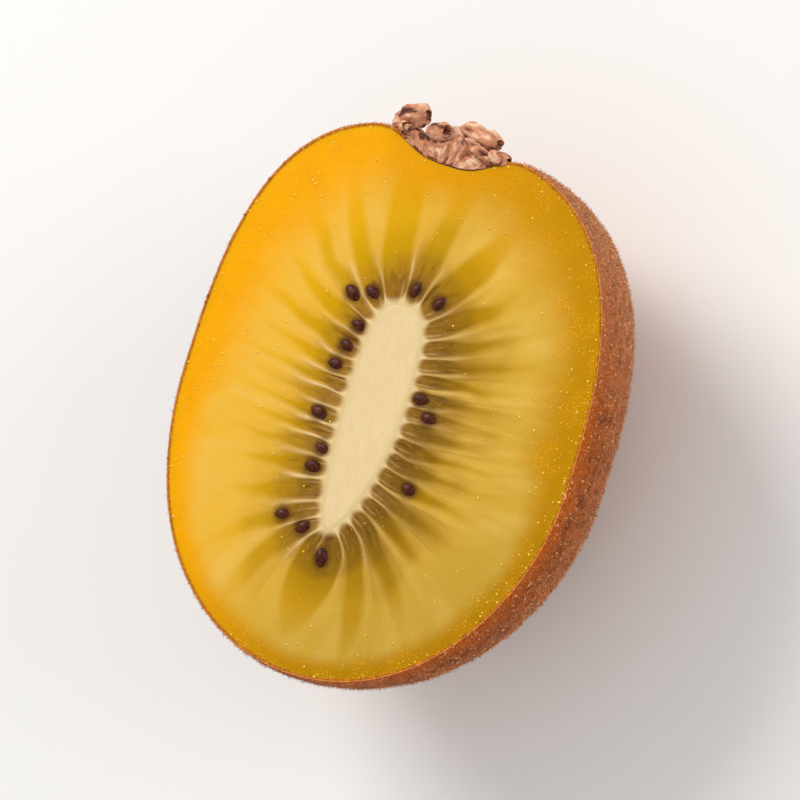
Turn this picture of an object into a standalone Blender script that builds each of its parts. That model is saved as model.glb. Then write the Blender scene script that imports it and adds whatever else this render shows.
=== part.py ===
"""Half of a golden kiwi fruit, cut lengthwise, lying on its rounded back with the cut face up.

Frame, in metres: the origin is the middle of the small flat spot that the half rests on, +X runs
along the fruit to the stem end, +Y across it, and +Z up out of the cut face. The pieces are
modelled about the middle of the cut face, with the face at z = 0 and the fruit below it, and
hang from one empty, which holds the face at its height over the resting spot.
"""

import math

import bmesh
import bpy
import numpy as np
from mathutils import Matrix, Vector

# The body of the fruit: half of a fat egg, widest at the belly, blunter to the stem end.
BELLY_X = -0.0030  # the widest station
STEM_REACH = 0.0352  # from the belly to the stem end, before its dimple is sunk
BLOSSOM_REACH = 0.0309
STEM_POWER = 2.8  # a power of 2 gives an ellipse, and more gives a squarer end
BLOSSOM_POWER = 2.05
HALF_WIDTH = 0.0274
DEPTH = 0.0280  # from the cut face to the back, before the resting spot is pressed flat
REST_PRESS = 0.0005  # how far the resting spot is pressed in
FACE_HEIGHT = DEPTH - REST_PRESS

# The stem end's dimple, with its middle in the cut face, and the slant of the shoulders.
DIMPLE_Y = 0.0008
DIMPLE_DEPTH = 0.0032
DIMPLE_WIDTH = 0.0069
DIMPLE_POWER = 3  # a power of 2 gives a round hollow, and more gives one with a flatter floor
SHOULDER_SLANT = -0.03
SHOULDER_REACH = 0.025  # how far from the middle the shoulders start to change

# The cut passes above the blossom end's tip, so the fruit swells out a little under the cut there.
TIP_SLANT = 0.045
TIP_SWELL = 0.0007
TIP_HEIGHT = 0.0070  # how far under the cut the swelling is greatest
TIP_REACH = 0.030  # how far from the middle it gets its full size

# The -Y side bulges a little under the cut.
SIDE_SWELL = 0.0007
SIDE_HEIGHT = 0.0120
SIDE_REACH = 0.020

# The layers, from the outside in.
SKIN = 0.0006
GAP = 0.0003  # the clearance between two pieces that grow together

# The pale core: a bent club, blunt to the stem end and tapered to the blossom end.
CORE_X = -0.0010  # its widest station
CORE_STEM_REACH = 0.0121
CORE_BLOSSOM_REACH = 0.0152
CORE_STEM_POWER = 3.2
CORE_BLOSSOM_POWER = 1.65
CORE_HALF_WIDTH = 0.00365
CORE_DEPTH = 0.0044
CORE_Y = 0.0005
CORE_BEND = 0.0013  # how far the blossom end's tip turns to +Y

# The seed chambers round the core, with thin walls standing between them. A wall leaves the core
# square to it and bends on its way to the rim, and the walls fan out at the fruit's two ends.
CHAMBERS = 32
CHAMBER_STEPS = 4  # mesh steps across one chamber
CHAMBER_DEPTH = 0.00045
CHAMBER_REACH = 0.0095  # from the core
CHAMBER_START = 0.0012  # how far from the core a chamber gets its full depth
CHAMBER_FADE = 0.55  # the share of its reach at which its floor starts to rise again
WALL_LEVER = 0.0080  # how far a wall keeps the direction it leaves the core in
WALL_SPREAD = 0.05  # how far the walls' rim ends draw together along the sides
WALL_TURN = 0.27  # how far round the core the first wall starts, in chambers
WALL_CROWDS = ((3.2, -0.65), (13.3, 0.7))  # walls near a chamber that start further on, or less
WALL_CROWD_WIDTH = 1.6
SQUARE_SPAN = 0.012  # the share of the core's outline that sets the direction of a wall's start
FACE_RINGS = (0, 0.035, 0.09, 0.17, 0.28, 0.42, 0.58, 0.78, 1)  # steps from the core to the rim

# The seeds: (chamber, counted from the stem end round by +Y; distance of its middle from the core).
SEEDS = (
    (1, 0.0030),
    (2, 0.0050),
    (3, 0.0020),
    (4, 0.0026),
    (5, 0.0032),
    (8, 0.0034),
    (10, 0.0018),
    (11, 0.0026),
    (13, 0.0057),
    (14, 0.0031),
    (15, 0.0036),
    (20, 0.0049),
    (24, 0.0036),
    (25, 0.0018),
    (30, 0.0030),
    (31, 0.0023),
)
SEED_SIZE = (0.0013, 0.0008, 0.0007)  # half sizes: along the chamber, across it, and in depth
SEED_TAPER = 0.3  # how much slimmer the outer end is than the middle
SEED_RISE = 0.0001  # how far a seed's middle lies over the floor of its chamber
SEED_SIDES = 7

# The calyx: the woody stem scar in the dimple, cut with the fruit, and three dry, curled sepals.
SCAR_RADIUS = 0.0058
SCAR_THICKNESS = 0.0022
SCAR_RIM = 0.0008
SEPAL_THICKNESS = 0.0007
SEPAL_TAPER = 0.35  # how much narrower a sepal is at its tip
SEPAL_CUP = 0.1  # how far a sepal's sides hang, as a share of its half width
# Each sepal's turn about the stem from +Y, the distance of its root from the stem's middle, its
# width, the radius of its curl, and how far the curl turns.
SEPALS = (
    (math.radians(17), 0.0053, 0.0036, 0.0019, math.radians(235)),
    (math.radians(60), 0.0046, 0.0034, 0.0012, math.radians(215)),
    (math.radians(128), 0.0043, 0.0068, 0.0012, math.radians(250)),
)

SKIN_STATIONS = 42  # mesh steps from the stem end to the blossom end
SKIN_TURNS = 18  # mesh steps across the fruit's back, from one cut edge to the other
FLESH_TURNS = 12
CORE_SIDES = 64
BOWL_RINGS = 5
DENSE = 400  # points on an outline before it is divided


def clear_scene():
    for old in list(bpy.data.objects):
        bpy.data.objects.remove(old, do_unlink=True)


def material(name, colour, roughness, subsurface=0.0):
    made = bpy.data.materials.new(name)
    made.use_nodes = True
    shader = made.node_tree.nodes["Principled BSDF"]
    shader.inputs["Base Color"].default_value = (*colour, 1.0)
    shader.inputs["Roughness"].default_value = roughness
    shader.inputs["Metallic"].default_value = 0.0
    shader.inputs["Subsurface Weight"].default_value = subsurface
    made.diffuse_color = (*colour, 1.0)
    return made


def smoothstep(low, high, value):
    share = np.clip((value - low) / (high - low), 0, 1)
    return share * share * (3 - 2 * share)


# --- The forms, as formulas ---------------------------------------------------------------------


def egg_stations(middle, reaches, powers, radius, shares):
    """Stations along X and the egg's radius at each, at shares of the way along its outline."""
    turn = np.linspace(0, math.pi, DENSE)
    front = turn <= math.pi / 2
    power = np.where(front, powers[0], powers[1])
    reach = np.where(front, reaches[0], -reaches[1])
    x = middle + reach * np.abs(np.cos(turn)) ** (2 / power)
    r = radius * np.abs(np.sin(turn)) ** (2 / power)
    length = np.concatenate(([0], np.cumsum(np.hypot(np.diff(x), np.diff(r)))))
    r[[0, -1]] = 0
    return np.interp(shares * length[-1], length, x), np.interp(shares * length[-1], length, r)


def body_stations(inset, shares):
    reaches = (STEM_REACH - inset, BLOSSOM_REACH - inset)
    powers = (STEM_POWER, BLOSSOM_POWER)
    return egg_stations(BELLY_X, reaches, powers, HALF_WIDTH - inset, shares)


def core_loop(outset):
    """The outline of the core, or of its pocket, from the stem end round by +Y."""
    reaches = (CORE_STEM_REACH + outset, CORE_BLOSSOM_REACH + outset)
    powers = (CORE_STEM_POWER, CORE_BLOSSOM_POWER)
    shares = np.linspace(0, 1, DENSE)
    x, r = egg_stations(CORE_X, reaches, powers, CORE_HALF_WIDTH + outset, shares)
    middle = CORE_Y + CORE_BEND * np.clip((CORE_X - x) / CORE_BLOSSOM_REACH, 0, None) ** 2
    one_side = np.stack((x, middle + r, 0 * x), -1)
    other_side = np.stack((x, middle - r, 0 * x), -1)
    return np.concatenate((one_side, other_side[-2:0:-1]))


def along(loop, shares):
    """The points of a closed loop at shares of its length."""
    closed = np.concatenate((loop, loop[:1]))
    length = np.concatenate(([0], np.cumsum(np.linalg.norm(np.diff(closed, axis=0), axis=1))))
    places = np.asarray(shares) % 1 * length[-1]
    return np.stack([np.interp(places, length, column) for column in closed.T], -1)


def stem_sink(y, z):
    """How far the stem end's dimple sinks a point of the surface."""
    away = np.hypot(y - DIMPLE_Y, z) / DIMPLE_WIDTH
    return DIMPLE_DEPTH * np.exp(-(away**DIMPLE_POWER))


def settled(points):
    """The egg's points with the stem end's dimple, slanting ends and the swellings under the cut."""
    x, y, z = np.moveaxis(points, -1, 0)
    stemward = smoothstep(0, SHOULDER_REACH, x)
    low = -z / TIP_HEIGHT
    swell = smoothstep(0, TIP_REACH, -x) * TIP_SWELL * low * np.exp(1 - low)
    slant = SHOULDER_SLANT * stemward + TIP_SLANT * smoothstep(0, SHOULDER_REACH, -x)
    deep = -z / SIDE_HEIGHT
    bulge = smoothstep(0, SIDE_REACH, -y) * SIDE_SWELL * deep * np.exp(1 - deep)
    x = x - stemward * stem_sink(y, z) - slant * y - swell
    y = y - bulge
    return np.stack((x, y, z), -1)


def back_surface(inset, shares, turns):
    """The fruit's back at a depth under the skin: a row of points for each station."""
    x, r = body_stations(inset, shares)
    turn = np.linspace(0, math.pi, turns + 1)
    y = np.outer(r, np.cos(turn))
    z = -np.outer(r, np.sin(turn)) * (DEPTH - inset) / (HALF_WIDTH - inset)
    z[:, [0, -1]] = 0
    z = np.maximum(z, inset - FACE_HEIGHT)
    return settled(np.stack((np.broadcast_to(x[:, None], y.shape), y, z), -1))


def bowl(edge, depth):
    """A round-bottomed bowl under a closed edge: a row of points for each of its rings."""
    middle = np.array((CORE_X, CORE_Y, 0))
    rows = []
    for slope in np.linspace(math.pi / 2, 0, BOWL_RINGS):
        row = middle + (edge - middle) * math.sin(slope)
        row[:, 2] = -depth * math.cos(slope)
        rows.append(row)
    rows[0][:, 2] = 0
    return rows


def round_loop(surface):
    """The cut edge of a surface as one loop: down its +Y side and back up its -Y side."""
    return np.concatenate((surface[:, 0], surface[-2:0:-1, -1]))


# --- Meshes -------------------------------------------------------------------------------------


def add_patch(mesh, rows):
    """Adds a grid of quads on rows of points."""
    made = [[mesh.verts.new(point) for point in row] for row in rows]
    for near, far in zip(made, made[1:]):
        for corner in range(len(near) - 1):
            mesh.faces.new((near[corner], far[corner], far[corner + 1], near[corner + 1]))


def closed_rows(rows):
    """Rows that run all the way round, with their first point repeated at the end."""
    return [np.concatenate((row, row[:1])) for row in rows]


def finish_mesh(name, patches, *materials):
    """One closed object from patches that meet edge to edge."""
    made = bmesh.new()
    for rows in patches:
        add_patch(made, rows)
    bmesh.ops.remove_doubles(made, verts=made.verts, dist=1e-6)
    bmesh.ops.dissolve_degenerate(made, edges=made.edges, dist=1e-6)
    bmesh.ops.triangulate(made, faces=made.faces)
    bmesh.ops.recalc_face_normals(made, faces=made.faces)
    data = bpy.data.meshes.new(name)
    made.to_mesh(data)
    made.free()
    piece = bpy.data.objects.new(name, data)
    bpy.context.scene.collection.objects.link(piece)
    for finish in materials:
        data.materials.append(finish)
    data.shade_smooth()
    data.set_sharp_from_angle(angle=math.radians(40))
    return piece


def fuse(piece, parts):
    """Joins parts to a piece in one solid, and removes them."""
    joined = bpy.data.collections.new(piece.name + "_parts")
    bpy.context.scene.collection.children.link(joined)
    for part in parts:
        bpy.context.scene.collection.objects.unlink(part)
        joined.objects.link(part)
    union = piece.modifiers.new("fuse", "BOOLEAN")
    union.operation = "UNION"
    union.solver = "EXACT"
    union.material_mode = "TRANSFER"
    union.operand_type = "COLLECTION"
    union.collection = joined
    with bpy.context.temp_override(object=piece):
        bpy.ops.object.modifier_apply(modifier=union.name)
    for part in parts:
        bpy.data.objects.remove(part, do_unlink=True)
    bpy.data.collections.remove(joined)


# --- The pieces ---------------------------------------------------------------------------------


def make_skin(finish):
    """The thin peel, a cup round the flesh, with its cut edge in the plane of the face."""
    shares = np.linspace(0, 1, SKIN_STATIONS + 1)
    outer = back_surface(0, shares, SKIN_TURNS)
    inner = back_surface(SKIN, shares, SKIN_TURNS)
    edge = closed_rows((round_loop(outer), round_loop(inner)))
    return finish_mesh("skin", (outer, inner, edge), finish)


def rim_shares(chamber):
    """How far round the rim the walls end, as shares of it."""
    even = chamber / CHAMBERS
    return even + WALL_SPREAD * np.sin(4 * math.pi * even)


def core_shares(chamber):
    """How far round the core the walls start, as shares of it."""
    moved = chamber + WALL_TURN
    for crowd, shift in WALL_CROWDS:
        moved = moved + shift * np.exp(-(((chamber - crowd) / WALL_CROWD_WIDTH) ** 2))
    return moved / CHAMBERS


def square_to_core(loop, shares):
    """The directions that point straight out of the core."""
    chord = along(loop, shares + SQUARE_SPAN) - along(loop, shares - SQUARE_SPAN)
    square = np.stack((chord[:, 1], -chord[:, 0], 0 * chord[:, 0]), -1)
    return square / np.linalg.norm(square, axis=1, keepdims=True)


def on_fan(starts, directions, ends, step):
    """The points a step of the way along walls, which start out straight and bend to their ends."""
    levers = starts + directions * WALL_LEVER
    return (1 - step) ** 2 * starts + 2 * step * (1 - step) * levers + step**2 * ends


def chamber_floors(chambers, starts, directions, ends):
    """The cut face from the core's pocket to the rim, with its ring of shallow chambers."""
    hollow = np.sin(np.pi * chambers) ** 2
    rows = []
    for step in FACE_RINGS:
        row = on_fan(starts, directions, ends, step)
        away = np.linalg.norm(row - starts, axis=1)
        rising = smoothstep(CHAMBER_FADE, 1, away / CHAMBER_REACH)
        row[:, 2] = -CHAMBER_DEPTH * hollow * smoothstep(0, CHAMBER_START, away) * (1 - rising)
        rows.append(row)
    return rows


def make_seed(start, direction, end, distance, finish):
    """One seed, its blunt end to the core, lying in its chamber."""
    path = np.array([on_fan(start, direction, end, step) for step in np.linspace(0, 0.5, 50)])
    away = np.linalg.norm(path - start, axis=1)
    x, y = (np.interp(distance, away, path[:, axis]) for axis in (0, 1))
    outward = math.atan2(y - start[1], x - start[0])
    made = bmesh.new()
    bmesh.ops.create_uvsphere(made, u_segments=SEED_SIDES, v_segments=SEED_SIDES - 2, radius=1)
    for vert in made.verts:
        side, depth, length = vert.co
        taper = 1 - SEED_TAPER * length
        vert.co = Vector((length, side * taper, depth * taper)) * Vector(SEED_SIZE)
    place = Matrix.Translation((x, y, SEED_RISE - CHAMBER_DEPTH))
    made.transform(place @ Matrix.Rotation(outward, 4, "Z"))
    bmesh.ops.recalc_face_normals(made, faces=made.faces)
    data = bpy.data.meshes.new("seed")
    made.to_mesh(data)
    made.free()
    data.materials.append(finish)
    seed = bpy.data.objects.new("seed", data)
    bpy.context.scene.collection.objects.link(seed)
    return seed


def make_flesh(finish, seed_finish):
    """The golden flesh with its chambers and a pocket for the core, and the seeds grown into it."""
    steps = CHAMBERS * CHAMBER_STEPS
    chambers = np.arange(steps) / CHAMBER_STEPS
    pocket = core_loop(GAP)
    starts = along(pocket, core_shares(chambers))
    directions = square_to_core(pocket, core_shares(chambers))
    one_side = np.arange(steps // 2 + 1) / CHAMBER_STEPS
    back = back_surface(SKIN + GAP, 2 * rim_shares(one_side), FLESH_TURNS)
    ends = round_loop(back)
    floors = chamber_floors(chambers, starts, directions, ends)
    hollow = bowl(starts, CORE_DEPTH + GAP)
    flesh = finish_mesh(
        "flesh", (back, closed_rows(hollow), closed_rows(floors)), finish, seed_finish
    )
    seeds = []
    for chamber, distance in SEEDS:
        middle = int((chamber + 0.5) * CHAMBER_STEPS)
        wall = (starts[middle], directions[middle], ends[middle])
        seeds.append(make_seed(*wall, distance, seed_finish))
    fuse(flesh, seeds)
    return flesh


def make_core(finish):
    """The pale core, a half club with its flat side in the plane of the face."""
    edge = along(core_loop(0), np.arange(CORE_SIDES) / CORE_SIDES)
    under = bowl(edge, CORE_DEPTH)
    half = CORE_SIDES // 2
    one_side = edge[: half + 1]
    other_side = np.concatenate((edge[:1], edge[: half - 1 : -1]))
    return finish_mesh("core", (closed_rows(under), (one_side, other_side)), finish)


def skin_height(y, z):
    """The X of the skin's outer surface at the stem end."""
    radius = np.hypot(y, z * HALF_WIDTH / DEPTH) / HALF_WIDTH
    x = BELLY_X + STEM_REACH * (1 - radius**STEM_POWER) ** (1 / STEM_POWER)
    return settled(np.stack((x, y, z), -1))


def make_scar(finish):
    """The woody half disc that fills the bottom of the dimple."""
    radius = np.linspace(0, SCAR_RADIUS, 6)
    turn = np.linspace(0, math.pi, 15)
    y = DIMPLE_Y + np.outer(radius, np.cos(turn))
    z = -np.outer(radius, np.sin(turn))
    z[:, [0, -1]] = 0
    low = skin_height(y, z) + (GAP, 0, 0)
    height = SCAR_RIM + (SCAR_THICKNESS - SCAR_RIM) * (1 - (radius / SCAR_RADIUS) ** 2)
    high = low.copy()
    high[..., 0] += height[:, None]
    rim = np.stack((low[-1], high[-1]))
    cuts = [np.stack((low[:, side], high[:, side])) for side in (0, -1)]
    return finish_mesh("calyx", (low, high, rim, *cuts), finish)


def make_sepal(turn, root, width, curl, curl_turn, finish):
    """A dry sepal that rises from the scar and rolls over inwards."""
    way = np.linspace(0, 1, 12)
    across = np.linspace(-1, 1, 9)
    rolled = way * curl_turn
    radius = root + curl * np.sin(rolled)
    half_width = width / 2 * (1 - SEPAL_TAPER * way**2)
    lean = np.outer(half_width, across) / (root + curl)
    y = DIMPLE_Y + radius[:, None] * np.cos(turn + lean)
    z = -radius[:, None] * np.sin(turn + lean)
    root_y = DIMPLE_Y + root * np.cos(turn + lean[0])
    root_height = skin_height(root_y, -root * np.sin(turn + lean[0]))[:, 0] + GAP + SCAR_RIM
    rise = curl * (1 - np.cos(rolled))[:, None] - SEPAL_CUP * half_width[:, None] * across**2
    x = root_height + rise
    sepal = finish_mesh("sepal", (np.stack((x, y, z), -1),), finish)
    thicken = sepal.modifiers.new("thicken", "SOLIDIFY")
    thicken.thickness = SEPAL_THICKNESS
    thicken.offset = 0
    return sepal


def make_calyx(finish):
    calyx = make_scar(finish)
    fuse(calyx, [make_sepal(*sepal, finish) for sepal in SEPALS])
    return calyx


def build():
    clear_scene()
    skin_finish = material("skin", (0.40, 0.17, 0.07), 0.75)
    flesh_finish = material("flesh", (0.80, 0.46, 0.03), 0.35, 0.2)
    seed_finish = material("seed", (0.05, 0.015, 0.01), 0.3)
    core_finish = material("core", (0.86, 0.70, 0.36), 0.45, 0.2)
    calyx_finish = material("calyx", (0.42, 0.22, 0.12), 0.85)
    pieces = (
        make_skin(skin_finish),
        make_flesh(flesh_finish, seed_finish),
        make_core(core_finish),
        make_calyx(calyx_finish),
    )
    middle = bpy.data.objects.new("middle_of_cut_face", None)
    bpy.context.scene.collection.objects.link(middle)
    middle.location = (0, 0, FACE_HEIGHT)
    for piece in pieces:
        piece.parent = middle


build()
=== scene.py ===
"""The looks of half a golden kiwi fruit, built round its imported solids.

Lengths are in metres. The pieces are modelled in fruit coordinates, as the solids are: the cut face
lies at z = 0 with the fruit below it, +X runs to the stem end, and x = 0 is the face's middle.
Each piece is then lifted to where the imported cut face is.
"""

import itertools
import math
from types import SimpleNamespace

import bmesh
import bpy
import numpy as np
from mathutils import Matrix, Vector


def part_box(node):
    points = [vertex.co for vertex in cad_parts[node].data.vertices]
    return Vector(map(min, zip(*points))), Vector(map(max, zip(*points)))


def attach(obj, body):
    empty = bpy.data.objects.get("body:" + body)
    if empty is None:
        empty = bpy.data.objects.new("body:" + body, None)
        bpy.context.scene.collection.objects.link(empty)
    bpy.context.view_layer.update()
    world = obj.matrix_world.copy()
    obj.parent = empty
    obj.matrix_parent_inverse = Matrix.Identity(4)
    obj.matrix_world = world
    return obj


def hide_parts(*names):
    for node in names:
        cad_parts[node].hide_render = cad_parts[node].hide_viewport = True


MM = 0.001

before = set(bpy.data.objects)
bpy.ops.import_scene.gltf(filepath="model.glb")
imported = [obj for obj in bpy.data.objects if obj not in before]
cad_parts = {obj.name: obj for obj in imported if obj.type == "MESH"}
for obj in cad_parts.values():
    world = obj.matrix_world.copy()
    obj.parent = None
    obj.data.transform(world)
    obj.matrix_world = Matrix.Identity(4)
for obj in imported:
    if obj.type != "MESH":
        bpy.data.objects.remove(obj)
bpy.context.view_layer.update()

# The body of the fruit, as in the solids: half of a fat egg.
FACE_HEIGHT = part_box("core")[1].z
HALF_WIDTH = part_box("skin")[1].y
REST_PRESS = 0.5 * MM  # how far the round back is flattened where it rests
DEPTH = FACE_HEIGHT + REST_PRESS
BELLY_X = -3.0 * MM
BLOSSOM_REACH = 30.9 * MM
STEM_REACH = 35.2 * MM
STEM_POWER = 2.8
BLOSSOM_POWER = 2.05

# The stem end's dimple and the slanting shoulders.
DIMPLE_Y = 0.8 * MM
DIMPLE_DEPTH = 3.2 * MM
DIMPLE_WIDTH = 6.9 * MM
DIMPLE_POWER = 3
SHOULDER_SLANT = -0.03
SHOULDER_REACH = 25 * MM

# The slanting blossom end, and how it swells a little under the cut.
TIP_SLANT = 0.045
TIP_SWELL = 0.7 * MM
TIP_HEIGHT = 7.0 * MM
TIP_REACH = 30 * MM

# The -Y side bulges a little under the cut.
SIDE_SWELL = 0.7 * MM
SIDE_HEIGHT = 12 * MM
SIDE_REACH = 20 * MM

SKIN = 0.45 * MM  # how thick the peel is

# The core: a bent club, blunt to the stem end.
CORE_X = -1.0 * MM
CORE_STEM_REACH = 12.1 * MM
CORE_BLOSSOM_REACH = 15.2 * MM
CORE_STEM_POWER = 3.2
CORE_BLOSSOM_POWER = 1.65
CORE_HALF_WIDTH = 3.65 * MM
CORE_DEPTH = 4.4 * MM
CORE_Y = 0.5 * MM
CORE_BEND = 1.3 * MM
CORE_JOIN = 0.15 * MM  # how far outside the solid core's edge the flesh starts
CORE_LAP = 0.2 * MM  # how far the core's face spreads over the flesh

# The seed chambers. Walls stand at whole chamber numbers, counted from the stem end round by +Y.
CHAMBERS = 32
CHAMBER_DEPTH = 0.45 * MM
CHAMBER_REACH = 9.5 * MM
WALL_LEVER = 8.0 * MM  # how stiffly a wall starts out square to the core
WALL_SPREAD = 0.05
WALL_TURN = 0.27
WALL_CROWDS = ((3.2, -0.65), (13.3, 0.7))  # (chamber, how far the walls near it are moved)
WALL_CROWD_WIDTH = 1.6
SQUARE_SPAN = 0.012

# The seeds: (chamber, distance of its middle from the core in millimetres).
SEEDS = (
    (1, 3.0), (2, 5.0), (3, 2.0), (4, 2.6), (5, 3.2), (8, 3.4), (10, 1.8), (11, 2.6),
    (13, 5.7), (14, 3.1), (15, 3.6), (20, 4.9), (24, 3.6), (25, 1.8), (30, 3.0), (31, 2.3),
)
SEED_SIZE = (1.18 * MM, 0.76 * MM, 0.6 * MM)
SEED_RISE = 0.1 * MM

# The golden zone under the peel, round the fruit: (chamber, its width in millimetres).
RIM_WIDTHS = (
    (0, 2.6), (2, 6.4), (5, 4.6), (8, 4.0), (11, 2.6), (13, 1.8),
    (16, 1.4), (20, 1.6), (22, 2.6), (24, 4.4), (28, 3.6), (30.5, 5.6),
)

DENSE = 600  # points on an outline before it is divided
SHARP_ANGLE = math.radians(50)


# --- Formulas for form and variation ---


def ease(low, high, value):
    """A share that eases from 0 to 1 while value goes from low to high."""
    share = np.clip((value - low) / (high - low), 0, 1)
    return share * share * (3 - 2 * share)


def ease_mm(low, high, length):
    """The same between lengths given in millimetres."""
    return ease(low * MM, high * MM, length)


def joined(*columns):
    """Points from their X, Y and Z, each an array or a number."""
    return np.stack(np.broadcast_arrays(*columns), -1)


def hashed(cell, seed):
    """A number from 0 to 1 for each cell of a lattice, the same on every run."""
    x, y, z = np.moveaxis(cell.astype(np.uint64), -1, 0)
    mixed = x * np.uint64(73856093) ^ y * np.uint64(19349663) ^ z * np.uint64(83492791)
    mixed = (mixed ^ np.uint64(seed * 2654435761 + 97)) * np.uint64(0x9E3779B97F4A7C15)
    mixed = (mixed ^ (mixed >> np.uint64(29))) * np.uint64(0xBF58476D1CE4E5B9)
    return ((mixed >> np.uint64(40)) & np.uint64(0xFFFF)).astype(float) / 0xFFFF


def soft_noise(points, size, seed):
    """Smooth noise from -1 to 1 over features of the given size."""
    scaled = points / size
    cell = np.floor(scaled).astype(np.int64)
    part = scaled - cell
    share = part * part * (3 - 2 * part)
    total = 0
    for corner in itertools.product((0, 1), repeat=3):
        weight = np.prod(np.where(corner, share, 1 - share), axis=-1)
        total = total + weight * hashed(cell + np.array(corner), seed)
    return 2 * total - 1


def rough_noise(points, size, seed, layers=3):
    """Noise with finer layers on it, each half as large and half as strong."""
    total = 0
    for layer in range(layers):
        total = total + soft_noise(points, size / 2**layer, seed + layer) / 2**layer
    return total / (2 - 2 ** (1 - layers))


def egg_stations(middle, stem, blossom, radius, shares):
    """An egg's stations along X and its radius at each; its two ends are (reach, power)."""
    turn = np.linspace(0, math.pi, DENSE)
    front = turn <= math.pi / 2
    reach = np.where(front, stem[0], -blossom[0])
    power = np.where(front, stem[1], blossom[1])
    x = middle + reach * np.abs(np.cos(turn)) ** (2 / power)
    r = radius * np.abs(np.sin(turn)) ** (2 / power)
    length = np.concatenate(([0], np.cumsum(np.hypot(np.diff(x), np.diff(r)))))
    r[[0, -1]] = 0
    return np.interp(shares * length[-1], length, x), np.interp(shares * length[-1], length, r)


def body_stations(inset, shares):
    """The stations of the whole fruit, or of what lies at a depth under its skin."""
    stem = (STEM_REACH - inset, STEM_POWER)
    blossom = (BLOSSOM_REACH - inset, BLOSSOM_POWER)
    return egg_stations(BELLY_X, stem, blossom, HALF_WIDTH - inset, shares)


def core_middle(x):
    """The Y of the core's middle line, which bends towards +Y at the blossom end."""
    return CORE_Y + CORE_BEND * np.clip((CORE_X - x) / CORE_BLOSSOM_REACH, 0, None) ** 2


def core_loop(outset):
    """The core's outline from the stem end round by +Y."""
    stem = (CORE_STEM_REACH + outset, CORE_STEM_POWER)
    blossom = (CORE_BLOSSOM_REACH + outset, CORE_BLOSSOM_POWER)
    shares = np.linspace(0, 1, DENSE)
    x, r = egg_stations(CORE_X, stem, blossom, CORE_HALF_WIDTH + outset, shares)
    one_side = joined(x, core_middle(x) + r, 0)
    other_side = joined(x, core_middle(x) - r, 0)
    return np.concatenate((one_side, other_side[-2:0:-1]))


def along(loop, shares):
    """The points of a closed loop at shares of its length."""
    closed = np.concatenate((loop, loop[:1]))
    length = np.concatenate(([0], np.cumsum(np.linalg.norm(np.diff(closed, axis=0), axis=1))))
    places = np.asarray(shares) % 1 * length[-1]
    return np.stack([np.interp(places, length, column) for column in closed.T], -1)


def settled(points):
    """The egg's points with the stem end's dimple, slanting ends and the swellings under the cut."""
    x, y, z = np.moveaxis(points, -1, 0)
    away = np.hypot(y - DIMPLE_Y, z) / DIMPLE_WIDTH
    sink = DIMPLE_DEPTH * np.exp(-(away**DIMPLE_POWER))
    low = -z / TIP_HEIGHT
    swell = ease(0, TIP_REACH, -x) * TIP_SWELL * low * np.exp(1 - low)
    stemward = ease(0, SHOULDER_REACH, x)
    slant = SHOULDER_SLANT * stemward + TIP_SLANT * ease(0, SHOULDER_REACH, -x)
    deep = -z / SIDE_HEIGHT
    bulge = ease(0, SIDE_REACH, -y) * SIDE_SWELL * deep * np.exp(1 - deep)
    x = x - stemward * sink - slant * y - swell
    y = y - bulge
    return joined(x, y, z)


def back_surface(inset, shares, turns):
    """The fruit's back at a depth under the skin: a row of points for each station."""
    x, r = body_stations(inset, shares)
    turn = np.linspace(0, math.pi, turns + 1)
    y = np.outer(r, np.cos(turn))
    z = -np.outer(r, np.sin(turn)) * (DEPTH - inset) / (HALF_WIDTH - inset)
    z[:, [0, -1]] = 0
    z = np.maximum(z, inset - FACE_HEIGHT)
    return settled(joined(x[:, None], y, z))


def skin_height(y, z):
    """The X of the skin's outer surface at the stem end."""
    radius = np.hypot(y, z * HALF_WIDTH / DEPTH) / HALF_WIDTH
    x = BELLY_X + STEM_REACH * (1 - radius**STEM_POWER) ** (1 / STEM_POWER)
    return settled(joined(x, y, z))[..., 0]


def rim_shares(chamber):
    """Where a chamber number stands round the fruit's outline."""
    even = chamber / CHAMBERS
    return even + WALL_SPREAD * np.sin(4 * math.pi * even)


def core_shares(chamber):
    """Where a chamber number stands round the core, whose walls crowd in some places."""
    moved = chamber + WALL_TURN
    for crowd, shift in WALL_CROWDS:
        moved = moved + shift * np.exp(-(((chamber - crowd) / WALL_CROWD_WIDTH) ** 2))
    return moved / CHAMBERS


def square_to_core(loop, shares):
    """The directions that point straight out of the core."""
    chord = along(loop, shares + SQUARE_SPAN) - along(loop, shares - SQUARE_SPAN)
    square = joined(chord[:, 1], -chord[:, 0], 0)
    return square / np.linalg.norm(square, axis=1, keepdims=True)


def on_fan(starts, directions, ends, step):
    """The points a step of the way along walls, which start out straight and bend to their ends."""
    levers = starts + directions * WALL_LEVER
    return (1 - step) ** 2 * starts + 2 * step * (1 - step) * levers + step**2 * ends


def lobes(chambers, base, *bumps):
    """A quantity that varies round the core: a base with bumps of (chamber, spread, amount)."""
    total = np.full(np.shape(chambers), float(base))
    for middle, spread, amount in bumps:
        off = (chambers - middle + CHAMBERS / 2) % CHAMBERS - CHAMBERS / 2
        total = total + amount * np.exp(-((off / spread) ** 2))
    return total


# --- Meshes ---


def grid_faces(shape, first, closed):
    """Quads between the rows of a grid whose points are numbered from first."""
    numbers = first + np.arange(shape[0] * shape[1]).reshape(shape)
    if closed:
        numbers = np.concatenate((numbers, numbers[:, :1]), axis=1)
    corners = (numbers[:-1, :-1], numbers[1:, :-1], numbers[1:, 1:], numbers[:-1, 1:])
    return np.stack(corners, -1).reshape(-1, 4)


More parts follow.
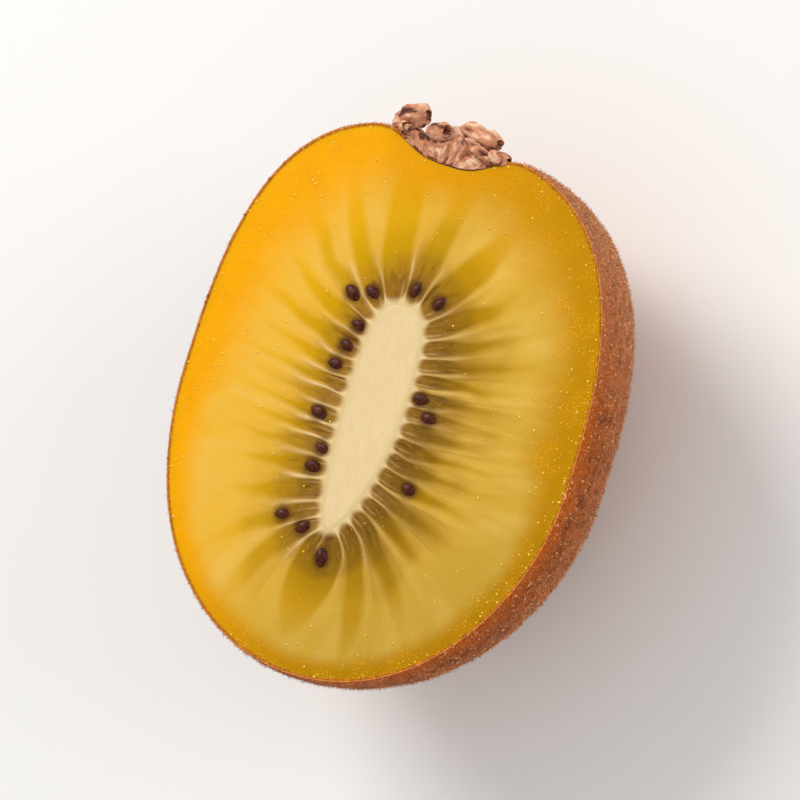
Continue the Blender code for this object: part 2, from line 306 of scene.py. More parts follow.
def mesh_piece(name, grids, attributes):
    """One piece from grids of points, given as (points, closed), welded where they meet.

    attributes holds arrays for the first grid's points; the other grids get 0.
    """
    points = []
    faces = []
    first = 0
    for grid, closed in grids:
        points.append(grid.reshape(-1, 3))
        faces.append(grid_faces(grid.shape[:2], first, closed))
        first += len(points[-1])
    points = np.concatenate(points)
    places = np.round(points / 1e-6).astype(np.int64)
    _, kept, welded = np.unique(places, axis=0, return_index=True, return_inverse=True)
    order = np.argsort(kept)
    number = np.empty(len(kept), np.int64)
    number[order] = np.arange(len(kept))
    faces = number[welded.reshape(-1)[np.concatenate(faces)]]
    pinched = (faces == np.roll(faces, 1, axis=1)).any(axis=1)
    polygons = faces[~pinched].tolist()
    for face in faces[pinched]:
        corners = list(dict.fromkeys(face.tolist()))
        if len(corners) == 3:
            polygons.append(corners)
    data = bpy.data.meshes.new(name)
    data.from_pydata(points[kept[order]].tolist(), [], polygons)
    for key, values in attributes.items():
        vectors = values.ndim == 3
        values = values.reshape(-1, 3 if vectors else 1)
        full = np.zeros((len(points), values.shape[1]))
        full[: len(values)] = values
        layer = data.attributes.new(key, "FLOAT_VECTOR" if vectors else "FLOAT", "POINT")
        layer.data.foreach_set("vector" if vectors else "value", full[kept[order]].ravel())
    return add_piece(name, data)


def linked(name, data):
    """A new object in the scene for a mesh, a lamp or a lens."""
    made = bpy.data.objects.new(name, data)
    bpy.context.scene.collection.objects.link(made)
    return made


def add_piece(name, data):
    """A smooth piece whose faces all look outwards."""
    made = bmesh.new()
    made.from_mesh(data)
    bmesh.ops.recalc_face_normals(made, faces=made.faces)
    made.to_mesh(data)
    made.free()
    data.shade_smooth()
    data.set_sharp_from_angle(angle=SHARP_ANGLE)
    return linked(name, data)


def values_of(items, key, width=1):
    """One value, or a row of values, for each of a mesh's points or faces."""
    flat = np.empty(len(items) * width)
    items.foreach_get(key, flat)
    return flat.reshape(-1, width) if width > 1 else flat


def unit(vectors):
    """Vectors drawn out or in to a length of 1."""
    return vectors / np.linalg.norm(vectors, axis=-1, keepdims=True)


def ring_points(middle, one, other, sides, turn=0.0):
    """Rings of points round middles, on the two half axes given for each."""
    around = 2 * math.pi * np.arange(sides) / sides + turn
    cosines = np.cos(around)[None, :, None]
    sines = np.sin(around)[None, :, None]
    return middle[:, None] + one[:, None] * cosines + other[:, None] * sines


def tapering(name, foot, brow, tips):
    """One piece from many small bodies, each given by its foot ring, its upper ring and its tip."""
    count, sides = foot.shape[:2]
    shape = [list(range(sides))[::-1]]
    for side in range(sides):
        after = (side + 1) % sides
        shape.append([side, after, sides + after, sides + side])
        shape.append([sides + side, sides + after, 2 * sides])
    points = np.concatenate((foot, brow, tips[:, None]), axis=1)
    polygons = []
    for body in range(count):
        first = body * points.shape[1]
        polygons += [[corner + first for corner in face] for face in shape]
    data = bpy.data.meshes.new(name)
    data.from_pydata(points.reshape(-1, 3).tolist(), [], polygons)
    data.shade_smooth()
    return linked(name, data)


def give(piece, finish, slot, *nodes):
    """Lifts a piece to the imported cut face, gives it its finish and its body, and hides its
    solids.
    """
    piece.data.transform(Matrix.Translation((0, 0, FACE_HEIGHT)))
    piece.data.materials.clear()
    piece.data.materials.append(finish)
    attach(piece, "root")
    if nodes:
        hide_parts(*nodes)


# --- Finishes ---


def srgb(red, green, blue):
    """A colour given as it looks on a screen, 0 to 255, in the linear values that shaders take."""
    shares = np.array((red, green, blue)) / 255
    linear = np.where(shares <= 0.04045, shares / 12.92, ((shares + 0.055) / 1.055) ** 2.4)
    return (*linear.tolist(), 1.0)


class Finish:
    """A material, whose nodes are made one call at a time."""

    def __init__(self, name, **constants):
        self.material = bpy.data.materials.new(name)
        self.material.use_nodes = True
        self.nodes = self.material.node_tree.nodes
        self.links = self.material.node_tree.links
        self.shader = self.nodes["Principled BSDF"]
        self.finished(**constants)

    def put(self, socket, value):
        if isinstance(value, bpy.types.NodeSocket):
            self.links.new(value, socket)
        else:
            socket.default_value = value

    def node(self, kind, output, inputs, **settings):
        made = self.nodes.new("ShaderNode" + kind)
        for key, value in settings.items():
            setattr(made, key, value)
        for key, value in inputs.items():
            self.put(made.inputs[key], value)
        return made.outputs[output]

    def place(self):
        """Where a point is on the piece, in metres."""
        return self.node("TexCoord", "Object", {})

    def stored(self, name, output="Fac"):
        return self.node("Attribute", output, {}, attribute_name=name)

    def math(self, operation, first, second=0.0):
        return self.node("Math", 0, {0: first, 1: second}, operation=operation)

    def stretched(self, vector, scales):
        return self.node("VectorMath", 0, {0: vector, 1: scales}, operation="MULTIPLY")

    def noise(self, size, vector=None, detail=3.0, distortion=0.0):
        """Noise from 0 to 1 over features of the given size."""
        inputs = {"Vector": vector or self.place(), "Scale": 1 / size, "Detail": detail}
        return self.node("TexNoise", 0, {**inputs, "Roughness": 0.55, "Distortion": distortion})

    def cells(self, size):
        """How far a point is from the middle of its cell, in shares of the cells' size."""
        return self.node("TexVoronoi", "Distance", {"Vector": self.place(), "Scale": 1 / size})

    def fade(self, value, low, high, start=0.0, end=1.0):
        """A share that goes from start to end while value goes from low to high."""
        inputs = {"Value": value, 1: low, 2: high, 3: start, 4: end}
        return self.node("MapRange", 0, inputs, interpolation_type="SMOOTHSTEP")

    def mottled(self, noise, low, high, one, other):
        """A colour that goes from one to another while a noise goes from low to high."""
        return self.mix(self.fade(noise, low, high), srgb(*one), srgb(*other))

    def mix(self, share, one, other):
        return self.node("Mix", 2, {0: share, 6: one, 7: other}, data_type="RGBA")

    def ramp(self, value, high, stops):
        """Colours along a value from 0 to high, given as (share of high, red, green, blue)."""
        share = self.math("DIVIDE", value, high)
        node = self.nodes.new("ShaderNodeValToRGB")
        node.color_ramp.interpolation = "EASE"
        elements = node.color_ramp.elements
        while len(elements) < len(stops):
            elements.new(0.5)
        for element, (place, *colour) in zip(elements, stops):
            element.position = place
            element.color = srgb(*colour)
        self.put(node.inputs[0], share)
        return node.outputs[0]

    def bump(self, height, distance, strength=1.0, normal=None):
        """A normal bent by a height from 0 to 1, which stands for the given distance."""
        inputs = {"Height": height, "Distance": distance, "Strength": strength}
        if normal:
            inputs["Normal"] = normal
        return self.node("Bump", 0, inputs)

    def finished(self, **inputs):
        for key, value in inputs.items():
            self.put(self.shader.inputs[key.replace("_", " ")], value)
        return self.material


# The flesh's colours outwards from the core, on the -Y side of the cut face, which is its right, and
# on the +Y side: (share of the reach, red, green, blue). The +Y colours are lighter and the -Y ones
# darker: partly the flesh's own tone and partly painted light, lit towards the key lamp on +Y.
TINT_REACH = 13 * MM
RIGHT_WALLS = (
    (0.0, 184, 142, 80),
    (0.27, 148, 110, 40),
    (0.45, 162, 122, 40),
    (0.68, 196, 153, 52),
    (1.0, 216, 174, 64),
)
LEFT_WALLS = (
    (0.0, 214, 168, 96),
    (0.27, 188, 142, 64),
    (0.47, 213, 163, 56),
    (0.7, 236, 182, 58),
    (1.0, 241, 188, 62),
)
RIGHT_PULP = (
    (0.0, 142, 98, 38),
    (0.25, 114, 80, 20),
    (0.45, 130, 92, 12),
    (0.7, 170, 126, 8),
    (1.0, 200, 152, 28),
)
LEFT_PULP = (
    (0.0, 178, 128, 46),
    (0.22, 166, 120, 32),
    (0.4, 196, 147, 20),
    (0.62, 217, 165, 8),
    (1.0, 234, 176, 8),
)


def flesh_finish():
    """Wet golden flesh: pale inside, saturated at the rim, with dark pulp between pale walls."""
    made = Finish(
        "golden_flesh",
        Subsurface_Weight=0.3,
        Subsurface_Scale=MM,
        Subsurface_Radius=(1.0, 0.55, 0.12),
        Specular_IOR_Level=0.07,
        Coat_Weight=0.02,
        Coat_Roughness=0.12,
        IOR=1.38,
    )
    fan = made.stored("fan", "Vector")
    way = made.stored("way")
    side = made.stored("side")
    pulp = made.stored("pulp")
    streaks = made.noise(0.42 * MM, made.stretched(fan, (1.0, 1.0, 0.14)), detail=4)
    fibres = made.noise(0.2 * MM, made.stretched(fan, (1.0, 1.0, 0.2)), detail=3)
    wisps = made.noise(1.6 * MM, made.stretched(fan, (1.0, 1.0, 0.12)), detail=3)
    clouds = made.noise(3.5 * MM, detail=3)
    grains = made.noise(0.3 * MM, detail=3)
    cells = made.cells(0.34 * MM)

    # The side mask mixes the -Y and +Y colours: partly the flesh's own tone and partly painted
    # light.
    right_walls = made.ramp(way, TINT_REACH, RIGHT_WALLS)
    left_walls = made.ramp(way, TINT_REACH, LEFT_WALLS)
    pale = made.mix(side, right_walls, left_walls)
    pale = made.mix(made.fade(wisps, 0.4, 0.7, 0, 0.5), pale, srgb(238, 198, 98))
    right_pulp = made.ramp(way, TINT_REACH, RIGHT_PULP)
    left_pulp = made.ramp(way, TINT_REACH, LEFT_PULP)
    filling = made.mix(side, right_pulp, left_pulp)
    inner = made.fade(way, 2.0 * MM, 8.5 * MM, 1, 0)
    dark = made.math("MULTIPLY", made.fade(streaks, 0.3, 0.52, 0.75, 0), inner)
    filling = made.mix(dark, filling, srgb(84, 54, 16))
    light = made.math("MULTIPLY", made.fade(fibres, 0.55, 0.75, 0, 0.5), inner)
    filling = made.mix(light, filling, srgb(196, 152, 76))
    base = made.mix(pulp, pale, filling)

    # The gold is lighter on the +Y side: partly its own tone and partly painted light.
    gold = made.mix(side, srgb(196, 140, 0), srgb(252, 174, 0))
    gold = made.mix(made.fade(clouds, 0.4, 0.7, 0, 0.3), gold, srgb(230, 158, 0))
    rim = made.math("ADD", made.stored("rim"), made.math("MULTIPLY", clouds, 0.4))
    base = made.mix(made.fade(rim, 0.2, 1.1), base, gold)
    # Painted shade laid over the flesh where the shade mask says.
    base = made.mix(made.stored("shade"), base, srgb(120, 96, 10))
    # The walls' lines are lighter on the +Y side: partly their own tone and partly painted light.
    lines = made.mix(side, srgb(206, 172, 112), srgb(248, 216, 166))
    base = made.mix(made.stored("wall"), base, lines)
    # Darker round each seed: partly the pulp's own tone and partly painted shade.
    base = made.mix(made.stored("halo"), base, srgb(84, 48, 16))
    base = made.mix(made.stored("pith"), base, srgb(232, 204, 148))
    # Painted glints: small bright dots of light on the cut cells, mostly near the rim.
    painted_glints = made.math("MULTIPLY", made.fade(cells, 0.1, 0.3, 1, 0), made.fade(clouds, 0.4, 0.6))
    painted_glints = made.math("MULTIPLY", painted_glints, made.stored("painted_glints"))
    base = made.mix(painted_glints, base, srgb(250, 206, 70))

    bumps = made.bump(made.noise(1.1 * MM, detail=2), 0.05 * MM)
    bumps = made.bump(grains, 0.02 * MM, 1, bumps)
    rough = made.fade(grains, 0.35, 0.65, 0.3, 0.5)
    return made.finished(Base_Color=base, Roughness=rough, Normal=bumps)


def juice_finish():
    """The tiny bright beads of juice that stand on the cut cells, paler than the flesh: partly the
    juice's own colour and partly painted glints.
    """
    made = Finish("juice_beads", Roughness=0.3, Coat_Weight=0.15, Coat_Roughness=0.1, IOR=1.38)
    clouds = made.noise(1.5 * MM, detail=1)
    base = made.mottled(clouds, 0.35, 0.65, (246, 190, 30), (255, 216, 90))
    return made.finished(Base_Color=base)


def core_finish():
    """Firm cream-coloured pith with faint fibres along it."""
    made = Finish(
        "core_pith",
        Roughness=0.42,
        Subsurface_Weight=0.3,
        Subsurface_Scale=MM,
        Subsurface_Radius=(1.0, 0.8, 0.4),
        Coat_Weight=0.15,
        Coat_Roughness=0.3,
        IOR=1.38,
    )
    fibres = made.noise(0.3 * MM, made.stretched(made.place(), (0.12, 1.0, 1.0)), detail=4)
    clouds = made.noise(2.0 * MM, detail=3)
    base = made.mottled(fibres, 0.3, 0.7, (233, 206, 152), (238, 213, 162))
    base = made.mix(made.fade(clouds, 0.4, 0.7, 0, 0.4), base, srgb(230, 204, 156))
    rind = made.math("MULTIPLY", made.stored("edge"), 0.6)
    base = made.mix(rind, base, srgb(231, 202, 140))
    bumps = made.bump(fibres, 0.03 * MM, 0.7)
    bumps = made.bump(made.noise(0.4 * MM, detail=2), 0.03 * MM, 1, bumps)
    return made.finished(Base_Color=base, Normal=bumps)


def seed_finish():
    """Glossy dark maroon seed coats."""
    made = Finish(
        "seed_coat",
        Roughness=0.42,
        Specular_IOR_Level=0.2,
        Coat_Weight=0.06,
        Coat_Roughness=0.15,
        IOR=1.45,
    )
    clouds = made.noise(0.4 * MM, detail=4)
    base = made.mottled(clouds, 0.35, 0.65, (48, 14, 4), (96, 40, 16))
    bumps = made.bump(made.noise(0.16 * MM, detail=2), 0.03 * MM)
    return made.finished(Base_Color=base, Normal=bumps)


# The lines on the peel's cut edge, from outside inwards: (start and end of its rise, colour).
CUT_LINES = ((0.0, 0.15, 236, 156, 74), (0.25, 0.5, 206, 112, 6), (0.55, 0.85, 230, 150, 0))


def skin_finish():
    """Thin brown peel, mottled, with a translucent orange line at the cut, a painted orange glow of
    light just below it and painted highlights on the stem end's -Y shoulder and further below the
    cut.
    """
    made = Finish(
        "brown_peel",
        Roughness=0.6,
        Specular_IOR_Level=0.12,
        Subsurface_Weight=0.1,
        Subsurface_Scale=0.8 * MM,
        Subsurface_Radius=(1.0, 0.4, 0.15),
        Sheen_Weight=0.1,
        Sheen_Roughness=0.5,
        Sheen_Tint=srgb(255, 205, 165),
    )
    clouds = made.noise(7 * MM, detail=4)
    blotches = made.noise(1.6 * MM, detail=4)
    worms = made.noise(0.6 * MM, detail=2, distortion=1.4)
    base = made.mottled(clouds, 0.35, 0.68, (158, 70, 2), (184, 90, 20))
    base = made.mix(made.fade(blotches, 0.42, 0.66, 0, 0.85), base, srgb(110, 44, 2))
    off_middle = made.math("ABSOLUTE", made.math("SUBTRACT", worms, 0.5))
    squiggles = made.fade(off_middle, 0.0, 0.06, 1, 0)
    patches = made.fade(made.noise(2.6 * MM, detail=3), 0.35, 0.6, 0.25, 0.9)
    patches = made.math("MULTIPLY", patches, made.stored("squiggle_share"))
    base = made.mix(made.math("MULTIPLY", squiggles, patches), base, srgb(236, 164, 104))
    # Painted light: the orange glow through the peel just below the cut.
    base = made.mix(made.stored("painted_glow"), base, srgb(204, 96, 0))
    # Painted highlight on the stem end's -Y shoulder and further below the cut.
    base = made.mix(made.stored("pale"), base, srgb(244, 170, 116))
    cut = made.stored("cut")
    for low, high, *colour in CUT_LINES:
        base = made.mix(made.fade(cut, low, high), base, srgb(*colour))
    base = made.mix(made.stored("woody"), base, srgb(118, 56, 28))
    bumps = made.bump(squiggles, 0.14 * MM)
    bumps = made.bump(made.noise(0.3 * MM, detail=3), 0.1 * MM, 1, bumps)
    return made.finished(Base_Color=base, Normal=bumps)


def fleck_finish():
    """The pale corky flecks that stand all over the peel."""
    made = Finish("peel_flecks", Roughness=0.7, Specular_IOR_Level=0.3)
    clouds = made.noise(0.8 * MM, detail=3)
    base = made.mottled(clouds, 0.35, 0.65, (158, 74, 12), (244, 180, 122))
    return made.finished(Base_Color=base)


def fuzz_finish():
    """Dry hairs, brown to pinkish straw."""
    made = Finish("peel_fuzz", Roughness=0.7, Specular_IOR_Level=0.2)
    clouds = made.noise(0.9 * MM, detail=2)
    base = made.mottled(clouds, 0.4, 0.6, (164, 78, 22), (242, 178, 124))
    return made.finished(Base_Color=base)


def calyx_finish():
    """Dry and woody: pinkish brown, with painted shade in its folds and painted highlights on its
    ridges.
    """
    made = Finish("dry_calyx", Roughness=0.75, Specular_IOR_Level=0.3)
    clouds = made.noise(1.5 * MM, detail=4)
    warmth = made.noise(1.1 * MM, detail=2)
    grain = made.noise(0.28 * MM, detail=4)
    relief_light = made.stored("relief_light")
    base = made.mottled(clouds, 0.35, 0.65, (190, 118, 82), (220, 158, 126))
    base = made.mix(made.fade(warmth, 0.5, 0.68, 0, 0.6), base, srgb(224, 150, 96))
    # Painted highlights on the ridges and painted shade in the folds, from the mask of painted
    # light.
    base = made.mix(made.fade(relief_light, 0.55, 0.9, 0, 0.85), base, srgb(252, 212, 176))
    base = made.mix(made.fade(grain, 0.5, 0.72, 0, 0.5), base, srgb(128, 70, 46))
    base = made.mix(made.fade(relief_light, 0.1, 0.46, 0.94, 0), base, srgb(74, 32, 22))
    bumps = made.bump(grain, 0.12 * MM)
    return made.finished(Base_Color=base, Normal=bumps)


def floor_finish():
    """A matt, nearly white ground."""
    made = Finish("pale_floor")
    shade = made.noise(0.35, detail=1)
    base = made.mix(shade, srgb(246, 246, 245), srgb(249, 249, 248))
    return made.finished(Base_Color=base, Roughness=0.85)


# --- The flesh ---

FLESH_STEPS = 26  # mesh steps across one chamber
FLESH_RINGS = 104  # mesh steps from the core to the peel
LAST_RING = 0.994  # where one more ring stands, just inside the peel
FLESH_TURNS = 12  # mesh steps round the back
CHAMBER_WIDTH = 2.2 * MM  # how wide a chamber is in the coordinates of the streaks
HOLLOW_DEPTH = 0.16 * MM  # how deep the pulp lies between its walls
CORE_STEPS = 8  # mesh steps of the pith across one chamber
CORE_RINGS = 30  # mesh steps from the pith's edge to its middle line
SEED_ROWS = 19
SEED_SIDES = 28


def cut_flesh():
    """The flat cut face, and what its looks and its relief are made from.

    away and to_rim are how far a point is from the core and from the peel, and wide is how wide its
    chamber is there. fan is its place along and across the chambers, and sway how the walls waver.
    """
    cut = SimpleNamespace()
    cut.chambers = np.arange(CHAMBERS * FLESH_STEPS) / FLESH_STEPS
    pocket = core_loop(CORE_JOIN)
    starts = along(pocket, core_shares(cut.chambers))
    directions = square_to_core(pocket, core_shares(cut.chambers))
    one_side = cut.chambers[: len(cut.chambers) // 2 + 1]
    cut.back = back_surface(SKIN, 2 * rim_shares(one_side), FLESH_TURNS)
    cut.ends = np.concatenate((cut.back[:, 0], cut.back[-2:0:-1, -1]))
    cut.seeds = seed_places(starts, directions, cut.ends)
    steps = np.linspace(0, 1, FLESH_RINGS + 1)[:, None, None]
    steps = np.concatenate((steps[:-1], [[[LAST_RING]]], steps[-1:]))
    cut.points = on_fan(starts, directions, cut.ends, steps)
    cut.away = np.linalg.norm(cut.points - starts, axis=-1)
    cut.to_rim = np.linalg.norm(cut.points - cut.ends, axis=-1)
    after = np.roll(cut.points, -1, axis=1)
    cut.wide = np.linalg.norm(after - cut.points, axis=-1) * FLESH_STEPS
    around = 2 * math.pi * cut.chambers / CHAMBERS
    radius = CHAMBERS * CHAMBER_WIDTH / (2 * math.pi)
    cut.fan = joined(radius * np.cos(around), radius * np.sin(around), cut.away)
    cut.sway = 0.36 * MM * soft_noise(cut.fan * (0.4, 0.4, 0.3), MM, 15)
    cut.phase = cut.chambers % 1
    cut.from_wall = np.abs((cut.phase - np.round(cut.phase)) * cut.wide + cut.sway)
    draw = np.random.default_rng(4)
    chamber = np.floor(cut.chambers).astype(int)
    wall = np.round(cut.chambers).astype(int) % CHAMBERS
    cut.of_chamber = draw.uniform(-1, 1, (4, CHAMBERS))[:, chamber]
    cut.of_wall = draw.uniform(-1, 1, (4, CHAMBERS))[:, wall]
    return cut


def pulp_of(cut):
    """The petals of pulp, which narrow outwards between the broadening walls."""
    reach = lobes(cut.chambers, 14.5 * MM, (2, 3.5, 4.5 * MM), (24, 5, MM))
    reach = reach * (1 + 0.16 * cut.of_chamber[0])
    taper = np.clip(1 - (cut.away / reach) ** 1.6, 0, None) ** 0.7
    thick = 0.1 * MM + 0.7 * MM * ease_mm(2, 11, cut.away)
    petal = (cut.wide / 2 - thick) * taper
    blur = 0.12 * MM + 0.5 * MM * ease_mm(1.5, 10, cut.away)
    from_middle = np.abs((cut.phase - 0.5) * cut.wide + cut.sway)
    pulp = 1 - ease(-blur, blur, from_middle - petal)
    pulp = pulp * (1 - ease(0.55 * reach, 1.15 * reach, cut.away))
    return pulp * (1 + 0.15 * cut.of_chamber[1])


def way_of(cut):
    """How far out of the core a point's tint is taken, which wavers from chamber to chamber."""
    waver = 1 + 0.16 * cut.of_chamber[1] + 0.12 * soft_noise(cut.fan, 2.5 * MM, 17)
    return cut.away * waver * lobes(cut.chambers, 1, (27, 5, -0.12), (5, 4, 0.08), (16, 2.5, 0.1))


def walls_of(cut):
    """The walls: pale lines, each of its own strength, width and length, and a finer one by each."""
    line = (0.1 + 0.1 * ease_mm(2, 7, cut.away)) * MM * (1 + 0.35 * cut.of_wall[1])
    bright = lobes(cut.chambers, 0.4, (11, 6, 0.6), (28.5, 4, 0.2)) * (1 + 0.45 * cut.of_wall[2])
    length = lobes(cut.chambers, 6.5 * MM, (11, 4, 0.8 * MM)) * (1 + 0.25 * cut.of_wall[3])
    shown = 1 - ease(0.55 * length, 1.15 * length, cut.away)
    patchy = 0.75 + 0.4 * soft_noise(cut.fan, 1.2 * MM, 19)
    wall = bright * patchy * np.exp(-((cut.from_wall / line) ** 2)) * shown
    aside = np.abs((cut.phase - 0.3 - 0.12 * cut.of_chamber[2]) * cut.wide + cut.sway)
    near_core = 1 - ease_mm(1.5, 4, cut.away)
    wall += 0.35 * np.exp(-((aside / (0.09 * MM)) ** 2)) * near_core
    return np.clip(wall, 0, 1)


def pith_of(cut):
    """The pale pith round the core, which reaches out furthest along the walls."""
    reach = (0.1 + 0.75 * (2 * np.abs(cut.phase - 0.5)) ** 2.5) * MM * (1 + 0.4 * cut.of_chamber[3])
    soft = (0.8 + 0.35 * ease_mm(-4, 4, cut.points[..., 1])) * MM
    return 1 - ease(-0.1 * MM, soft, cut.away - reach)


def halo_of(cut):
    """The darker colour round each seed: partly the pulp's own tone and partly painted shade in the
    seed's pocket.
    """
    halo = 0 * cut.away
    for x, y, _ in cut.seeds:
        gap = np.linalg.norm(cut.points[..., :2] - (x, y), axis=-1)
        near = 1 - ease(0.5 * SEED_SIZE[0], 1.45 * SEED_SIZE[0], gap)
        halo = np.maximum(halo, 0.75 * near)
    return halo


def flesh_masks(cut, pulp):
    """All that the flesh's finish is told about each point of the face."""
    x, y, _ = np.moveaxis(cut.points, -1, 0)
    places, widths = zip(*RIM_WIDTHS)
    width = np.interp(cut.chambers, places, widths, period=CHAMBERS) * MM
    rim = np.clip(1.15 - cut.to_rim / (2 * width), 0, 1)
    # side runs from the -Y side to the +Y side; what it mixes is partly the flesh's own tone and
    # partly painted light from the key lamp on +Y.
    side = ease_mm(-22, 22, y + 0.35 * x)
    # Painted shade: darker towards the blossom end on the -Y side, and at the stem end beside the
    # calyx except on the +Y side.
    shade = 0.22 * ease_mm(12, 32, -x - 0.6 * y)
    shade = shade + 0.16 * ease_mm(17, 29, x) * (1 - ease_mm(6, 12, y))
    return {
        "pulp": pulp,
        "way": way_of(cut),
        "wall": walls_of(cut),
        "rim": rim,
        "pith": pith_of(cut),
        "side": side,
        # Where painted glints lie: mostly near the rim, more on the -Y side.
        "painted_glints": 0.15 + 0.85 * rim * (1 - 0.6 * side),
        "shade": shade,
        "halo": halo_of(cut),
        "fan": cut.fan,
    }


def sunken(cut, pulp):
    """The face's points, with the pulp sunk a little between its walls."""
    hollow = 1 - np.exp(-((cut.from_wall / (0.35 * MM)) ** 2))
    sunk = 1 - ease(0.45, 0.95, cut.away / CHAMBER_REACH)
    sunk = ease_mm(0.2, 1.4, cut.away) * sunk
    strands = rough_noise(cut.fan * (1, 1, 0.25), 0.5 * MM, 11)
    waves = rough_noise(cut.points, 5 * MM, 21, 2)
    inside = ease_mm(0, 1, cut.to_rim) * ease_mm(0, 1, cut.away)
    face = cut.points.copy()
    face[..., 2] = -HOLLOW_DEPTH * hollow * sunk + 0.06 * MM * strands * pulp * sunk
    face[..., 2] += 0.05 * MM * waves * inside
    face[-1, :, 2] = cut.ends[:, 2]
    face[0, :, 2] = 0
    return face


def bowl_under(rim, depth, rows):
    """The bowl of a given depth that hangs from a loop round the core's middle."""
    middle = np.array((CORE_X, CORE_Y, 0))
    slopes = np.linspace(math.pi / 2, 0, rows)
    bowl = np.stack([middle + (rim - middle) * math.sin(slope) for slope in slopes])
    bowl[..., 2] = -depth * np.cos(slopes)[:, None]
    bowl[0] = rim
    return bowl


def make_flesh(cut):
    """The flesh: its fine cut face, its back against the peel and the pocket for the core."""
    pulp = pulp_of(cut)
    face = sunken(cut, pulp)
    pocket = bowl_under(face[0], CORE_DEPTH + CORE_JOIN, 5)
    grids = ((face, True), (cut.back, False), (pocket, True))
    return mesh_piece("flesh_face", grids, flesh_masks(cut, pulp))


def make_core():
    """The pith: its face spreads a little over the flesh and ends just below it."""
    chambers = np.arange(CHAMBERS * CORE_STEPS) / CORE_STEPS
    edge = along(core_loop(CORE_JOIN + CORE_LAP), core_shares(chambers))
    spine = edge.copy()
    spine[:, 0] = CORE_X + (edge[:, 0] - CORE_X) * 0.7
    spine[:, 1] = core_middle(edge[:, 0])
    shrink = 1 - np.linspace(0, 1, CORE_RINGS)[:, None, None] ** 1.5
    face = spine + (edge - spine) * shrink
    inward = np.linalg.norm(face - edge, axis=-1)
    rise = 0.07 * MM * ease_mm(-0.3, 0.5, inward)
    fibres = rough_noise(face * (0.3, 1, 1), 1.2 * MM, 31)
    face[..., 2] = rise - 0.03 * MM + 0.02 * MM * fibres * ease_mm(0, 1, inward)
    grids = ((face, True), (bowl_under(face[0], CORE_DEPTH, 6), True))
    return mesh_piece("core_pith", grids, {"edge": 1 - ease_mm(0, 1.2, inward)})


def seed_places(starts, directions, ends):
    """Each seed's middle and the direction that points out of the core there: (x, y, turn)."""
    places = []
    for chamber, distance in SEEDS:
        column = int((chamber + 0.5) * FLESH_STEPS)
        start = starts[column]
        steps = np.linspace(0, 0.5, 80)[:, None]
        path = on_fan(start, directions[column], ends[column], steps)
        away = np.linalg.norm(path - start, axis=1)
        x, y = (np.interp(distance * MM, away, path[:, axis]) for axis in (0, 1))
        places.append((x, y, math.atan2(y - start[1], x - start[0])))
    return places


def make_seeds(places):
    """The seeds, blunt to the core and pointed outwards, half sunk in their chambers."""
    down = np.linspace(0, math.pi, SEED_ROWS)[:, None]
    around = 2 * math.pi * np.arange(SEED_SIDES) / SEED_SIDES
    side = np.sin(down) * np.cos(around)
    deep = np.sin(down) * np.sin(around)
    way = np.cos(down)
    ahead = np.clip(way, 0, None)
    point = 1 - 0.28 * ahead**1.3
    lumps = 1 + 0.03 * np.sin(9 * way + 5 * side) + 0.02 * np.sin(23 * side - 11 * way)
    ball = joined(way * (1 + 0.06 * ahead), side * point, deep * point) * lumps[..., None]
    draw = np.random.default_rng(8)
    balls = []
    for x, y, outward in places:
        size = Matrix.Diagonal(Vector(SEED_SIZE) * draw.uniform(0.88, 1.1))
        turn = Matrix.Rotation(outward + draw.uniform(-0.35, 0.35), 3, "Z")
        tilt = Matrix.Rotation(draw.uniform(-0.2, 0.2), 3, "Y")
        tilt = tilt @ Matrix.Rotation(draw.uniform(-0.5, 0.5), 3, "X")
        turned = ball @ np.array(turn @ tilt @ size).T
        balls.append((turned + (x, y, SEED_RISE - CHAMBER_DEPTH), True))
    return mesh_piece("seeds", balls, {})


# --- The skin ---

SKIN_STATIONS = 290
SKIN_TURNS = 240
CUT_STEPS = 4  # mesh steps across the peel's cut edge
FLECKS = 8500
FLECK_SIDES = 5
BEADS = 1100
BEAD_SIDES = 7
FUZZ_THICK = 0.035 * MM
# The peel's hairs: (name, how many, the shortest and the longest, where their draws start).
FUZZ = (
    ("fuzz_short", 15500, (0.2 * MM, 0.4 * MM), 52),
    ("fuzz_long", 15000, (0.32 * MM, 0.6 * MM), 53),
)


def peel_sheets():
    """The peel's outside with its cut edges, how far in on the cut each point is, and its inside."""
    shares = np.linspace(0, 1, SKIN_STATIONS + 1)
    outer = back_surface(0, shares, SKIN_TURNS)
    inner = back_surface(SKIN, shares, 8)
    steps = np.linspace(0, 1, CUT_STEPS + 1)[:-1]
    one_cut = inner[:, :1] + (outer[:, :1] - inner[:, :1]) * steps[:, None]
    other_cut = outer[:, -1:] + (inner[:, -1:] - outer[:, -1:]) * (1 - steps[::-1, None])
    sheet = np.concatenate((one_cut, outer, other_cut), axis=1)
    cut = np.concatenate((1 - steps, np.zeros(SKIN_TURNS + 1), 1 - steps[::-1]))
    return sheet, np.broadcast_to(cut, sheet.shape[:2]), inner


